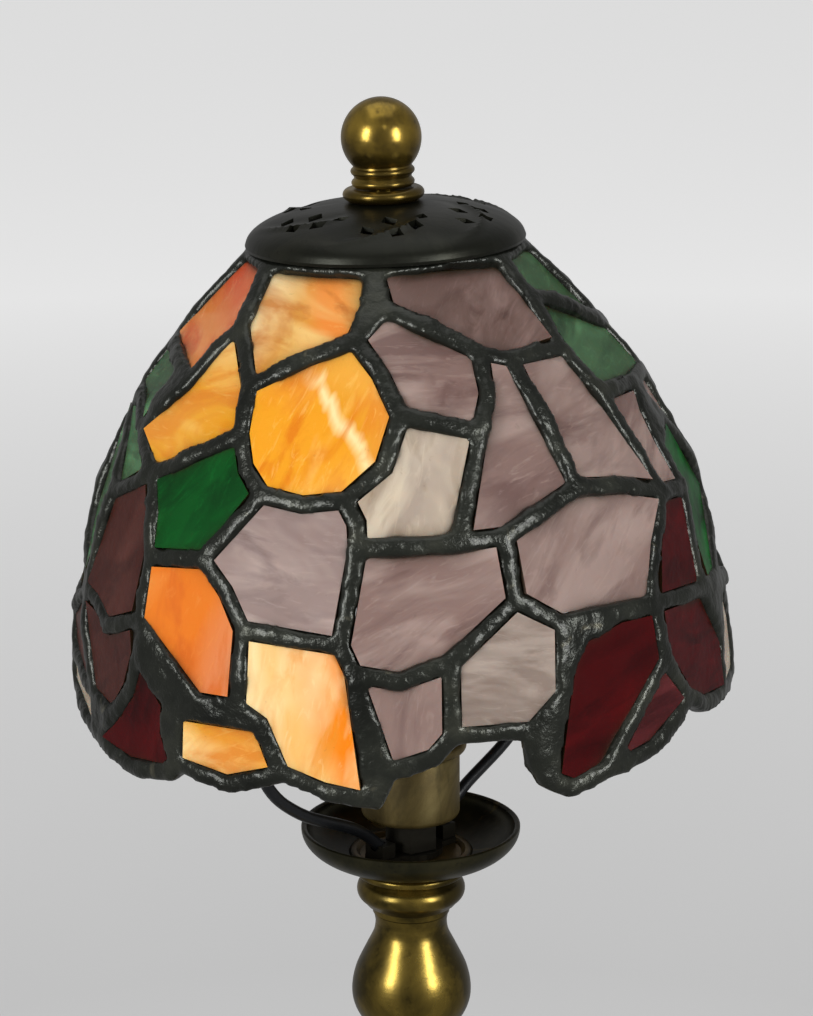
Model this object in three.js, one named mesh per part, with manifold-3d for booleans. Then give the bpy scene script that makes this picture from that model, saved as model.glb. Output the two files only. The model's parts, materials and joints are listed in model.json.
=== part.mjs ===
// Leaded-glass accent lamp: turned brass stem on a weighted foot, dish, candelabra socket, wire harp,
// and an irregular dome shade of flat glass panes soldered into one lattice, under a pierced cap and a
// ball finial. Millimetres, +Z up, origin at the centre of the underside. -Y is the front.
import * as THREE from 'three';
import Module from 'manifold-3d';
import { mergeVertices } from 'three/addons/utils/BufferGeometryUtils.js';

const wasm = await Module();
wasm.setup();

// ---------------------------------------------------------------- driving dimensions
const GAP = 0.3;                 // clearance between pieces that touch
const BORE = 5.2;                // bore of every piece threaded on the central tube
const TUBE_RADIUS = 4.8;         // threaded tube, 3/8 in thread
const STUD_RADIUS = 3.1;         // 1/4-27 stud of the harp
const STUD_HOLE = 3.6;
const DISH_RIM_Z = 154.5;
const DISH_RADIUS = 27.2;
const LEAN = THREE.MathUtils.degToRad(2); // harp, shade and finial stand this far out of true
const PIVOT_Z = 150;             // the lean turns about this point on the stem axis
const HARP_TURN = THREE.MathUtils.degToRad(45); // harp plane, turned from the lamp's width
const WIRE_RADIUS = 1.5;
const CAP_TOP_Z = 310.6;
const CAP_RIM_Z = 301.5;
const CAP_RADIUS = 33.2;
const SHADE_TOP_Z = 300.2;
const TOP_RING_RADIUS = 27;
const SMOOTHING = 0.25;          // largest shape change when facets of the leading are merged
const BALL_RADIUS = 9.525;
const BALL_Z = 325.7;
const GLASS_THICKNESS = 3;
const LEAD_THICKNESS = 4.4;
const LEAD_HALF_WIDTH = 2;
const TIE_WIDTH = 2;             // glass web that joins the panes of a joined node
const TIE_THICKNESS = 1.2;
const TILE_DEGREES = 180;        // the pane pattern goes round the shade twice

// outer surface of the shade: radius = bottom x (1 - t^power), t = height above the rim / drop
const DOME = { bottomRadius: 80.8, rimZ: 188, drop: 137, power: 2.6 };

// ---------------------------------------------------------------- materials
function finish(color, roughness, metalness) {
  return { color, roughness, metalness };
}
const FINISHES = {
  brass: finish(0x6b5a22, 0.35, 1),
  patina: finish(0x857a58, 0.55, 0.8),
  dishBronze: finish(0x2e2b1f, 0.5, 0.8),
  capBronze: finish(0x3b3a35, 0.45, 0.8),
  lead: finish(0x2a2c2a, 0.4, 0.8),
  blackWire: finish(0x16181a, 0.5, 0.4),
  steel: finish(0x9a9a98, 0.4, 1),
  iron: finish(0x3a3a3c, 0.8, 0.6),
  felt: finish(0x1f3a2a, 1, 0),
  phenolic: finish(0x1b1512, 0.6, 0),
  fibre: finish(0x8a7350, 0.9, 0),
  clearGlass: finish(0xe8ecec, 0.1, 0),
  amber: finish(0xf59a1a, 0.25, 0),
  coral: finish(0xe8906a, 0.25, 0),
  honey: finish(0xf2cf7a, 0.25, 0),
  lilac: finish(0xa8959a, 0.25, 0),
  cream: finish(0xd0c8b8, 0.25, 0),
  green: finish(0x0d7a2d, 0.25, 0),
  sage: finish(0x4d7a55, 0.25, 0),
  ruby: finish(0x5c0a0a, 0.25, 0),
  maroon: finish(0x552a2a, 0.25, 0),
  rose: finish(0x7a2a30, 0.25, 0),
};

// ---------------------------------------------------------------- geometry helpers
function signedVolume(geometry) {
  const position = geometry.getAttribute('position');
  const index = geometry.index.array;
  const [a, b, c] = [new THREE.Vector3(), new THREE.Vector3(), new THREE.Vector3()];
  let sum = 0;
  for (let i = 0; i < index.length; i += 3) {
    a.fromBufferAttribute(position, index[i]);
    b.fromBufferAttribute(position, index[i + 1]);
    c.fromBufferAttribute(position, index[i + 2]);
    sum += a.dot(b.cross(c));
  }
  return sum / 6;
}

// merges shared corners, drops empty triangles and turns the faces outward
function closed(geometry) {
  const bare = geometry.clone();
  bare.deleteAttribute('normal');
  bare.deleteAttribute('uv');
  const merged = mergeVertices(bare, 1e-4);
  const index = merged.index.array;
  const kept = [];
  for (let i = 0; i < index.length; i += 3) {
    const [a, b, c] = [index[i], index[i + 1], index[i + 2]];
    if (a !== b && b !== c && c !== a) kept.push(a, b, c);
  }
  merged.setIndex(kept);
  if (signedVolume(merged) < 0) {
    for (let i = 0; i < kept.length; i += 3) [kept[i], kept[i + 1]] = [kept[i + 1], kept[i]];
    merged.setIndex(kept);
  }
  return merged;
}

function solidOf(geometry) {
  const tidy = closed(geometry);
  return new wasm.Manifold(new wasm.Mesh({
    numProp: 3,
    vertProperties: new Float32Array(tidy.getAttribute('position').array),
    triVerts: new Uint32Array(tidy.index.array),
  }));
}

function geometryOf(solid) {
  const mesh = solid.getMesh();
  const geometry = new THREE.BufferGeometry();
  const corners = new Float32Array(mesh.numVert * 3);
  for (let i = 0; i < mesh.numVert; i++) {
    for (let k = 0; k < 3; k++) corners[3 * i + k] = mesh.vertProperties[mesh.numProp * i + k];
  }
  geometry.setAttribute('position', new THREE.BufferAttribute(corners, 3));
  geometry.setIndex(Array.from(mesh.triVerts));
  return geometry;
}

function cutAll(solid, cutters) {
  return cutters.reduce((rest, cutter) => rest.subtract(cutter), solid);
}

// profile is a list of [radius, height]; it starts and ends on the axis or is closed on itself
function lathe(profile, segments = 20) {
  const points = profile.map(([r, z]) => new THREE.Vector2(r, z));
  const onAxis = points[0].x === 0 && points[points.length - 1].x === 0;
  if (!onAxis) points.push(points[0].clone());
  return closed(new THREE.LatheGeometry(points, segments).rotateX(Math.PI / 2));
}

function arc(centreR, centreZ, radiusR, radiusZ, fromDegrees, toDegrees, steps) {
  const points = [];
  for (let i = 0; i <= steps; i++) {
    const angle = THREE.MathUtils.degToRad(fromDegrees + (toDegrees - fromDegrees) * i / steps);
    points.push([centreR + radiusR * Math.cos(angle), centreZ + radiusZ * Math.sin(angle)]);
  }
  return points;
}

// a smooth turned outline through a few [radius, height] points
function smooth(points, steps) {
  const curve = new THREE.CatmullRomCurve3(points.map(([r, z]) => new THREE.Vector3(r, z, 0)));
  return curve.getPoints(steps).map((p) => [p.x, p.y]);
}

function rod(radius, bottomZ, topZ, sides = 24) {
  const geometry = new THREE.CylinderGeometry(radius, radius, topZ - bottomZ, sides);
  return closed(geometry.rotateX(Math.PI / 2).translate(0, 0, (bottomZ + topZ) / 2));
}

function block(width, depth, height, x = 0, y = 0, z = 0) {
  return closed(new THREE.BoxGeometry(width, depth, height).translate(x, y, z));
}

// a prism between two equal rings of corners
function prism(outline, thickness, place) {
  const ring = THREE.ShapeUtils.isClockWise(outline) ? [...outline].reverse() : outline;
  const count = ring.length;
  const corners = [];
  for (const side of [thickness / 2, -thickness / 2]) {
    for (const p of ring) corners.push(...place(p.x, p.y, side).toArray());
  }
  const faces = [];
  for (const [a, b, c] of THREE.ShapeUtils.triangulateShape(ring, [])) {
    faces.push(a, b, c, count + c, count + b, count + a);
  }
  for (let i = 0; i < count; i++) {
    const j = (i + 1) % count;
    faces.push(i, count + i, j, j, count + i, count + j);
  }
  const geometry = new THREE.BufferGeometry();
  geometry.setAttribute('position', new THREE.Float32BufferAttribute(corners, 3));
  geometry.setIndex(faces);
  return closed(geometry);
}

// ---------------------------------------------------------------- scene graph
const lamp = new THREE.Group();
const leaning = new THREE.Group();       // everything that shares the harp's lean
leaning.position.z = PIVOT_Z;
leaning.rotation.y = -LEAN;
lamp.add(leaning);
const upright = new THREE.Group();
lamp.add(upright);

function addPiece(group, name, geometry, look) {
  const mesh = new THREE.Mesh(geometry, new THREE.MeshStandardMaterial(FINISHES[look]));
  mesh.name = name;
  if (group === leaning) mesh.position.z = -PIVOT_Z;
  group.add(mesh);
}

// ---------------------------------------------------------------- shade surface
function domeRadius(z) {
  const t = Math.max(0, (z - DOME.rimZ) / DOME.drop);
  return DOME.bottomRadius * (1 - t ** DOME.power);
}

// the outward direction of the surface in the radius-height plane
function domeNormal(z) {
  const t = Math.max(0, (z - DOME.rimZ) / DOME.drop);
  const slope = -DOME.bottomRadius * DOME.power * t ** (DOME.power - 1) / DOME.drop;
  return new THREE.Vector2(1, -slope).normalize();
}

// azimuth 0 is the front, positive to the right; depth is measured in from the outer surface
function onDome(azimuth, z, depth) {
  const angle = THREE.MathUtils.degToRad(azimuth);
  const normal = domeNormal(z);
  const radius = domeRadius(z) - depth * normal.x;
  return new THREE.Vector3(
    radius * Math.sin(angle), -radius * Math.cos(angle), z - depth * normal.y);
}

// ---------------------------------------------------------------- pane pattern
// Junctions of the leading over half a turn: [azimuth in degrees, height]. A name that ends in
// an apostrophe is the same junction of the next half turn.
const JUNCTIONS = {
  a1: [-90, 300], a2: [-57, 300], a3: [-5, 300], a4: [56, 300],
  b1: [-92, 280], b2: [-65, 277.5], b2low: [-58.5, 276], b3: [-49, 288], b4: [-36, 277],
  b5: [-9, 287], b6: [-1, 293], b7: [25, 283], b8: [33, 281], b9: [52, 281], b10: [54, 292],
  c1: [-92, 268.5], c2: [-69, 263], c3: [-56, 256], c4: [-34, 267.5], c5: [-26, 256],
  c6: [-9, 255.5], c7: [2.5, 272], c8: [19.5, 267.5], c9: [37.5, 253.5], c10: [60, 246.5],
  c11: [56, 270], c12: [73, 269], c12low: [68.5, 256], c13: [79, 260],
  d0: [-88, 239], d1: [-70, 249], d2: [-50, 239], d3: [-36, 241], d4: [-6.5, 245.5],
  d5: [11.5, 245.5], d6: [20, 246], d7: [69, 245],
  e1: [-74, 225], e1low: [-60.5, 220], e2: [-50.5, 224.5], e3: [-27, 227], e4: [-9.5, 224.5],
  e5: [-7.5, 218.5], e5low: [0, 216.5], e6: [8.5, 220], e7: [20.5, 232], e8: [28.5, 225.5],
  e8low: [32.5, 222], e9: [49, 224], e10: [66.5, 221.5], e11: [75, 221.5],
  f0: [92, 214], f1: [-49.5, 216.5], f2: [-42, 207], f3: [-35.5, 209.3], f4: [-27.5, 209.5],
  f5: [-40, 206], f6: [-23.5, 206], f7: [27.5, 209.5], f8: [50, 211], f9: [73, 207],
  f10: [82, 210], f11: [-58, 199.5], f12: [-66.5, 201.5], f13: [-84, 206],
  g0: [-84, 197], g1: [-65, 192], g2: [-53, 189], g3: [-43, 190.5], g4: [-40.5, 193.5],
  g5: [-30, 191], g6: [-20, 195], g7: [-13, 191.5], g8: [-5, 189.5], g9: [-2.5, 196],
  g10: [5, 199], g11: [8, 203.5], g12: [21.5, 202.5], g13: [22.5, 194], g14: [24, 190.5],
  g15: [28, 187.5], g16: [35, 189.5], g17: [45.5, 191], g18: [57, 199], g19: [62.5, 195],
  g20: [73, 193.5], g21: [83, 194],
};

// how far a curved lead line of the front half bows out of its chord, to the left of the walk
// from the first junction to the second; all the other lines are straight
const BOWS = {
  'b4 b5': 1.5, 'b5 c7': 1.6, 'c7 c6': 2.6, 'c6 c5': 1.2, 'c5 c4': 1.2, 'b2low b3': 1.2,
  'b5 a3': -1.2, 'c1 d1': 2.2, 'c1 c2': 1.6, 'd2 c3': -1.2, 'e3 d3': -1.2, 'c6 d4': 1.3,
  'c8 b7': -1.4, 'c10 c9': -1.4, 'c12 c12low': -1.6, 'e9 c10': 1.6, 'e1 e1low': 1.2,
  'f1 f11': 1.6, 'g4 f2': 2, 'f7 e8low': 1.6, 'e8low e9': 1.4, 'f10 g21': 1.2,
};

// panes: name, colour, junctions of the outline in order
const PANES = [
  ['pane_coral_crown', 'coral', "a1 a2 b3 b2low b2 b1"],
  ['pane_honey_crown', 'honey', "a2 a3 b5 b4 b3"],
  ['pane_lilac_crown', 'lilac', "a3 a4 b10 b9 b8 b7 b6"],
  ['pane_sage_crown', 'sage', "a4 a1' b1' b10"],
  ['pane_green_leaf_upper', 'sage', "b10 b1' c1' c12 c11 b9"],
  ['pane_amber_left', 'amber', "b3 b4 c4 c3 c2 b2low"],
  ['pane_lilac_upper', 'lilac', "b6 b7 c8 c7 b5"],
  ['pane_amber_disc', 'amber', "b5 c7 c6 c5 c4 b4"],
  ['pane_cream_centre', 'cream', "c7 c8 d5 d4 c6"],
  ['pane_lilac_blade', 'lilac', "b7 b8 c9 d6 d5 c8"],
  ['pane_lilac_right_upper', 'lilac', "b8 b9 c11 c10 c9"],
  ['pane_lilac_narrow', 'lilac', "c11 c12 c12low d7 c10"],
  ['pane_green_tall_right', 'green', "c12low c13 d0' e11 e10 d7"],
  ['pane_sage_wedge', 'sage', "b1 b2 c2 c1"],
  ['pane_sage_band', 'sage', "c1 c2 c3 d1"],
  ['pane_sage_tall_left', 'sage', "c1 d1 e1 d0"],
  ['pane_green_leaf_left', 'green', "c3 c4 c5 d3 d2"],
  ['pane_maroon_upper', 'maroon', "d1 c3 d2 e2 e1low e1"],
  ['pane_lilac_left', 'lilac', "c5 c6 d4 e4 e3 d3"],
  ['pane_maroon_lower', 'maroon', "e1 e1low e2 f1 f11 f12"],
  ['pane_ruby_left', 'ruby', "f1 f2 g4 g3 g2 g1 f11"],
  ['pane_amber_lower_left', 'amber', "d2 d3 e3 f4 f3 e2"],
  ['pane_amber_rim', 'amber', "f5 f6 g6 g5 g4"],
  ['pane_honey_long', 'honey', "e3 e4 e5 g8 g7 g6 f6 f4"],
  ['pane_lilac_centre', 'lilac', "d4 d5 d6 e7 e6 e5low e5 e4"],
  ['pane_lilac_rim', 'lilac', "e5 e5low e6 g11 g10 g9"],
  ['pane_cream_rim', 'cream', "e7 e8 f7 g12 g11 e6"],
  ['pane_lilac_right_lower', 'lilac', "d6 c9 c10 e9 e8 e7"],
  ['pane_ruby_petal', 'ruby', "e8low e9 f8 g16 g15 g14 f7"],
  ['pane_rose_rim', 'rose', "f8 g18 g17 g16"],
  ['pane_ruby_small', 'ruby', "c10 d7 e10 e9"],
  ['pane_ruby_round', 'ruby', "e9 e10 f9 g20 g19 g18 f8"],
  ['pane_pale_right', 'cream', "e11 f10 g21 g20 f9"],
  ['pane_pale_left', 'cream', "f13 f12 g1 g0"],
  ['pane_lilac_side', 'lilac', "c12 c1' d0' c13"],
  ['pane_sage_side', 'sage', "d0' e1' f0 e11"],
  ['pane_maroon_side', 'maroon', "f0 e1' f12' f13'"],
  ['pane_lilac_side_rim', 'lilac', "e11 f0 f13' g0' g21 f10"],
];

// the lower edge of the leading over half a turn
const RIM = 'g0 g1 g2 g3 g4 g5 g6 g7 g8 g9 g10 g11 g12 g13 g14 g15 g16 g17 g18 g19 g20 g21';

// panes of the front half that are joined to those of the back half
const JOINED_FRONT_PANES = ['pane_pale_right', 'pane_pale_left', 'pane_sage_tall_left',
  'pane_sage_wedge', 'pane_green_tall_right', 'pane_lilac_side', 'pane_sage_side',
  'pane_maroon_side', 'pane_lilac_side_rim'];

const BOW_STEPS = 2;

function junction(name, tile) {
  const next = name.endsWith("'");
  const [azimuth, z] = JUNCTIONS[next ? name.slice(0, -1) : name];
  return [azimuth + TILE_DEGREES * (tile + (next ? 1 : 0)), z];
}

function bowOf(from, to) {
  return BOWS[`${from} ${to}`] ?? -(BOWS[`${to} ${from}`] ?? 0);
}

// [azimuth, height] points of one lead line, without its last point
function leadLine(from, to, tile) {
  const [a, b] = [junction(from, tile), junction(to, tile)];
  const bow = tile === 0 ? bowOf(from, to) : 0;
  if (bow === 0) return [a];
  const degreesPerMm = 180 / Math.PI / domeRadius((a[1] + b[1]) / 2);
  const along = new THREE.Vector2((b[0] - a[0]) / degreesPerMm, b[1] - a[1]).normalize();
  const points = [];
  for (let i = 0; i < BOW_STEPS; i++) {
    const t = i / BOW_STEPS;
    const out = 4 * t * (1 - t) * bow;
    points.push([
      a[0] + (b[0] - a[0]) * t - along.y * out * degreesPerMm,
      a[1] + (b[1] - a[1]) * t + along.x * out]);
  }
  return points;
}

// moves every side of a flat outline inward, dropping sides that vanish; sides run clockwise
function inset(outline, distance) {
  let sides = outline.map((p, i) => {
    const q = outline[(i + 1) % outline.length];
    const along = q.clone().sub(p).normalize();
    const inward = new THREE.Vector2(along.y, -along.x);
    return { along, base: p.clone().addScaledVector(inward, distance) };
  });
  for (;;) {
    const corners = sides.map((side, i) => {
      const before = sides[(i + sides.length - 1) % sides.length];
      const cross = before.along.cross(side.along);
      if (Math.abs(cross) < 1e-3) return side.base.clone();
      const shift = side.base.clone().sub(before.base).cross(side.along) / cross;
      return before.base.clone().addScaledVector(before.along, shift);
    });
    const lengths = corners.map(
      (p, i) => corners[(i + 1) % corners.length].clone().sub(p).dot(sides[i].along));
    const worst = lengths.indexOf(Math.min(...lengths));
    if (lengths[worst] > GAP || sides.length <= 3) return corners;
    sides = sides.filter((_, i) => i !== worst);
  }
}

// a flat pane: its plane through the outline's corners, and the outline in that plane
function paneSheet([name, colour, loop], tile) {
  const names = loop.split(' ');
  const corners = names.flatMap((from, i) => leadLine(from, names[(i + 1) % names.length], tile))
    .map(([azimuth, z]) => onDome(azimuth, z, LEAD_THICKNESS / 2));
  const centre = corners.reduce((sum, p) => sum.add(p), new THREE.Vector3())
    .divideScalar(corners.length);
  const normal = new THREE.Vector3();
  corners.forEach((p, i) => normal.add(p.clone().cross(corners[(i + 1) % corners.length])));
  normal.normalize();
  if (normal.dot(centre.clone().setZ(0)) < 0) normal.negate();
  const right = new THREE.Vector3(0, 0, 1).cross(normal).normalize();
  const up = normal.clone().cross(right);
  const flat = corners.map((p) => {
    const local = p.clone().sub(centre);
    return new THREE.Vector2(local.dot(right), local.dot(up));
  });
  if (!THREE.ShapeUtils.isClockWise(flat)) flat.reverse();
  const place = (x, y, out) => centre.clone()
    .addScaledVector(right, x).addScaledVector(up, y).addScaledVector(normal, out);
  const azimuth = (azimuthOf(centre) + 360) % 360;
  return { name, colour, names, tile, flat, place, centre, normal, azimuth };
}

function azimuthOf(point) {
  return THREE.MathUtils.radToDeg(Math.atan2(point.x, -point.y));
}

function paneGeometry(sheet) {
  return prism(inset(sheet.flat, LEAD_HALF_WIDTH), GLASS_THICKNESS, sheet.place);
}

function windowSolid(sheet) {
  return solidOf(prism(inset(sheet.flat, LEAD_HALF_WIDTH - GAP), 4 * LEAD_THICKNESS, sheet.place));
}

// the web across a lead line that joins two panes of a joined node
function tieSolid({ ends, middle, panes }, grow) {
  const run = onDome(...ends[1], 0).sub(onDome(...ends[0], 0));
  const [a, b] = panes.map((pane) => {
    const foot = middle.clone().projectOnPlane(pane.normal).addScaledVector(
      pane.normal, pane.centre.dot(pane.normal));
    const inward = run.clone().cross(pane.normal).normalize();
    if (inward.dot(pane.centre.clone().sub(foot)) < 0) inward.negate();
    return foot.addScaledVector(inward, LEAD_HALF_WIDTH + TIE_WIDTH / 2);
  });
  const across = b.clone().sub(a);
  const length = across.length();
  across.normalize();
  const along = across.clone().cross(panes[0].normal).normalize();
  const outward = along.clone().cross(across);
  const size = [TIE_WIDTH, length, TIE_THICKNESS].map((side) => side + 2 * grow);
  const turn = new THREE.Matrix4().makeBasis(along, across, outward)
    .setPosition(a.add(b).multiplyScalar(0.5));
  return solidOf(new THREE.BoxGeometry(...size).applyMatrix4(turn));
}

// the fewest shared lead lines that hold all the given panes together, longest lines first
function tyingLines(sheets) {
  const seen = new Map();
  const shared = [];
  for (const sheet of sheets) {
    sheet.names.forEach((from, i) => {
      const to = sheet.names[(i + 1) % sheet.names.length];
      const ends = [junction(from, sheet.tile), junction(to, sheet.tile)];
      const key = ends.map(([azimuth, z]) => `${(azimuth + 720) % 360}/${z}`).sort().join(' ');
      const [start, apex] = [...leadLine(from, to, sheet.tile), null]
        .map((point) => point && onDome(...point, LEAD_THICKNESS / 2));
      const middle = apex ?? start.lerp(onDome(...ends[1], LEAD_THICKNESS / 2), 0.5);
      if (seen.has(key)) shared.push({ ends, middle, panes: [seen.get(key), sheet] });
      seen.set(key, sheet);
    });
  }
  const span = ({ ends: [from, to] }) => onDome(...from, 0).distanceTo(onDome(...to, 0));
  shared.sort((p, q) => span(q) - span(p));
  const holds = (line) => line.panes.every(
    (pane) => tieSolid(line, 0).intersect(solidOf(paneGeometry(pane))).volume() > TIE_THICKNESS);
  const group = new Map(sheets.map((sheet, i) => [sheet, i]));
  return shared.filter((line) => {
    const [kept, taken] = line.panes.map((pane) => group.get(pane));
    if (kept === taken || !holds(line)) return false;
    for (const sheet of sheets) if (group.get(sheet) === taken) group.set(sheet, kept);
    return true;
  });
}

// a ring below the shade's lower edge, which trims the leading to its scalloped rim
function rimCutter() {
  const path = [0, 1].flatMap((tile) => RIM.split(' ').map((name) => junction(name, tile)));
  const degreesPerMm = 180 / Math.PI / DOME.bottomRadius;
  const lowered = path.map(([azimuth, z], i) => {
    const before = path[(i + path.length - 1) % path.length];
    const after = path[(i + 1) % path.length];
    const step = ([fromA, fromZ], [toA, toZ]) => new THREE.Vector2(
      (((toA - fromA + 540) % 360) - 180) / degreesPerMm, toZ - fromZ).normalize();
    const [come, go] = [step(before, [azimuth, z]), step([azimuth, z], after)];
    const outward = new THREE.Vector2(come.y + go.y, -(come.x + go.x)).normalize();
    const slant = Math.abs(outward.dot(new THREE.Vector2(come.y, -come.x)));
    const miter = LEAD_HALF_WIDTH / Math.max(0.5, slant);
    return [azimuth + outward.x * miter * degreesPerMm, z + outward.y * miter];
  });
  const [inner, outer, bottom] = [DOME.bottomRadius - 20, DOME.bottomRadius + 12, DOME.rimZ - 20];
  const corners = lowered.flatMap(([azimuth, z]) => {
    const angle = THREE.MathUtils.degToRad(azimuth);
    const [x, y] = [Math.sin(angle), -Math.cos(angle)];
    return [[inner, bottom], [outer, bottom], [outer, z], [inner, z]]
      .flatMap(([r, h]) => [r * x, r * y, h]);
  });
  const faces = [];
  lowered.forEach((_, i) => {
    const [p, q] = [4 * i, 4 * ((i + 1) % lowered.length)];
    for (let k = 0; k < 4; k++) {
      const n = (k + 1) % 4;
      faces.push(p + k, p + n, q + k, p + n, q + n, q + k);
    }
  });
  const geometry = new THREE.BufferGeometry();
  geometry.setAttribute('position', new THREE.Float32BufferAttribute(corners, 3));
  geometry.setIndex(faces);
  return solidOf(geometry);
}

function domeShell() {
  const steps = 6;
  const bottomZ = DOME.rimZ - 3;
  const line = (depth, topZ) => {
    const points = [];
    for (let i = 0; i <= steps; i++) {
      const z = bottomZ + (topZ - bottomZ) * Math.sin(i / steps * Math.PI / 2);
      const normal = domeNormal(z);
      points.push([domeRadius(z) - depth * normal.x, z - depth * normal.y]);
    }
    return points;
  };
  const beyondTop = SHADE_TOP_Z + 6;
  const profile = [...line(0, beyondTop), ...line(LEAD_THICKNESS, beyondTop).reverse()];
  const top = solidOf(block(200, 200, 40, 0, 0, SHADE_TOP_Z + 20));
  return solidOf(lathe(profile, 30)).subtract(top);
}

// ---------------------------------------------------------------- shade
function buildShade() {
  const sheets = [0, 1].flatMap((tile) => PANES.map((pane) => paneSheet(pane, tile)));
  const single = sheets.filter((s) => s.tile === 0 && !JOINED_FRONT_PANES.includes(s.name));
  const joined = sheets.filter((s) => !single.includes(s));
  const halves = {
    panes_back_right: joined.filter((s) => s.azimuth < 180),
    panes_back_left: joined.filter((s) => s.azimuth >= 180),
  };
  const slots = [];
  for (const [name, members] of Object.entries(halves)) {
    let solid = members.map((s) => solidOf(paneGeometry(s))).reduce((sum, s) => sum.add(s));
    for (const line of tyingLines(members)) {
      solid = solid.add(tieSolid(line, 0));
      slots.push(tieSolid(line, GAP));
    }
    addPiece(leaning, name, geometryOf(solid), 'lilac');
  }
  for (const sheet of single) addPiece(leaning, sheet.name, paneGeometry(sheet), sheet.colour);
  const mouth = solidOf(rod(TOP_RING_RADIUS + GAP, SHADE_TOP_Z - 12, SHADE_TOP_Z + 2, 30));
  const cutters = [...sheets.map(windowSolid), ...slots, rimCutter(), mouth];
  const lattice = cutAll(domeShell(), cutters).simplify(SMOOTHING);
  addPiece(leaning, 'shade_leading', geometryOf(lattice), 'lead');
}

function buildTopRing() {
  const topZ = SHADE_TOP_Z;
  addPiece(leaning, 'shade_top_ring', lathe([
    [TOP_RING_RADIUS - 2, topZ - 4], [TOP_RING_RADIUS, topZ - 4], [TOP_RING_RADIUS, topZ],
    [TOP_RING_RADIUS - 2, topZ],
  ], 30), 'brass');
}

// diamond holes of one leaf of the cap: [azimuth in degrees, radius, width, length, turn in degrees]
const PIERCINGS = [
  [-16, 24.3, 3.6, 5, 35], [-3, 19.3, 4.2, 5, 20], [-1, 26, 3.8, 4.4, 60], [11.5, 23, 4, 5, -20],
  [21, 18.6, 3.2, 4.2, -40],
];
const LEAF_AZIMUTHS = [-53, 7, 67, 127, 187, 247];

function piercing(azimuth, radius, width, length, turn) {
  const depth = 12;
  const shape = new THREE.CylinderGeometry(0.5, 0.5, depth, 4);
  const angle = THREE.MathUtils.degToRad(azimuth);
  shape.rotateX(Math.PI / 2).scale(width, length, 1);
  shape.rotateZ(THREE.MathUtils.degToRad(turn) + angle);
  shape.translate(radius * Math.sin(angle), -radius * Math.cos(angle), CAP_TOP_Z - 3);
  return solidOf(shape);
}

function buildCap() {
  const wall = 1.2;
  const rise = CAP_TOP_Z - CAP_RIM_Z;
  const dome = arc(0, CAP_RIM_Z, CAP_RADIUS, rise + 0.35, 82, 6, 6);
  const inside = arc(0, CAP_RIM_Z, CAP_RADIUS - 1.8, rise - wall + 0.3, 4, 80, 5);
  const profile = [
    [STUD_HOLE, CAP_TOP_Z], ...dome.slice(1),
    [CAP_RADIUS + 0.1, CAP_RIM_Z], [CAP_RADIUS - 0.3, CAP_RIM_Z - 0.8],
    [CAP_RADIUS - 1.2, SHADE_TOP_Z + GAP], [CAP_RADIUS - 2.4, SHADE_TOP_Z + GAP],
    ...inside.slice(0, -1), [STUD_HOLE, CAP_TOP_Z - wall],
  ];
  const holes = LEAF_AZIMUTHS.flatMap(
    (leaf) => PIERCINGS.map(([azimuth, ...size]) => piercing(azimuth + leaf, ...size)));
  const pierced = cutAll(solidOf(lathe(profile, 26)), holes).simplify(SMOOTHING / 4);
  addPiece(leaning, 'shade_cap', geometryOf(pierced), 'capBronze');
}

// ---------------------------------------------------------------- finial
function buildFinial() {
  const seatZ = CAP_TOP_Z + GAP;
  addPiece(leaning, 'finial_seat_ring', lathe([
    [STUD_HOLE, seatZ], [8.2, seatZ], ...arc(7.9, seatZ + 1.6, 1.8, 1.5, -60, 80, 4),
    [7.2, seatZ + 3], [STUD_HOLE, seatZ + 3],
  ]), 'brass');
  const footZ = seatZ + 3 + GAP;
  addPiece(leaning, 'finial', lathe([
    [0, footZ + 9], [STUD_HOLE, footZ + 9], [STUD_HOLE, footZ], [6.8, footZ],
    ...arc(6.6, footZ + 1, 0.9, 0.9, -60, 60, 2), [6.9, footZ + 2.4],
    ...arc(6.5, footZ + 3.7, 1.1, 1, -60, 60, 2),
    ...arc(0, BALL_Z, BALL_RADIUS, BALL_RADIUS, -43, 90, 9).slice(0, -1), [0, BALL_Z + BALL_RADIUS],
  ]), 'brass');
}

// ---------------------------------------------------------------- harp
// half of the harp's bow: [distance from the axis, height above the dish rim]
const HARP_BOW = [[9.6, -4.2], [18.6, 3.6], [36.8, 13], [47.4, 24], [53, 44], [51.5, 74], [43, 104],
  [28, 130], [12, 146], [0, 149.5]];

function harpWire(radius) {
  const side = (sign) => HARP_BOW.map(([out, up]) => new THREE.Vector3(
    sign * out * Math.cos(HARP_TURN), sign * out * Math.sin(HARP_TURN), DISH_RIM_Z + up));
  const path = new THREE.CatmullRomCurve3([...side(-1), ...side(1).reverse().slice(1)]);
  const section = new THREE.Shape().absarc(0, 0, radius, 0, 2 * Math.PI);
  return closed(new THREE.ExtrudeGeometry(section, { extrudePath: path, steps: 32, curveSegments: 4 }));
}

function leanMatrix() {
  const shift = new THREE.Matrix4().makeTranslation(0, 0, PIVOT_Z);
  const back = new THREE.Matrix4().makeTranslation(0, 0, -PIVOT_Z);
  return shift.multiply(new THREE.Matrix4().makeRotationY(-LEAN)).multiply(back);
}

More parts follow.
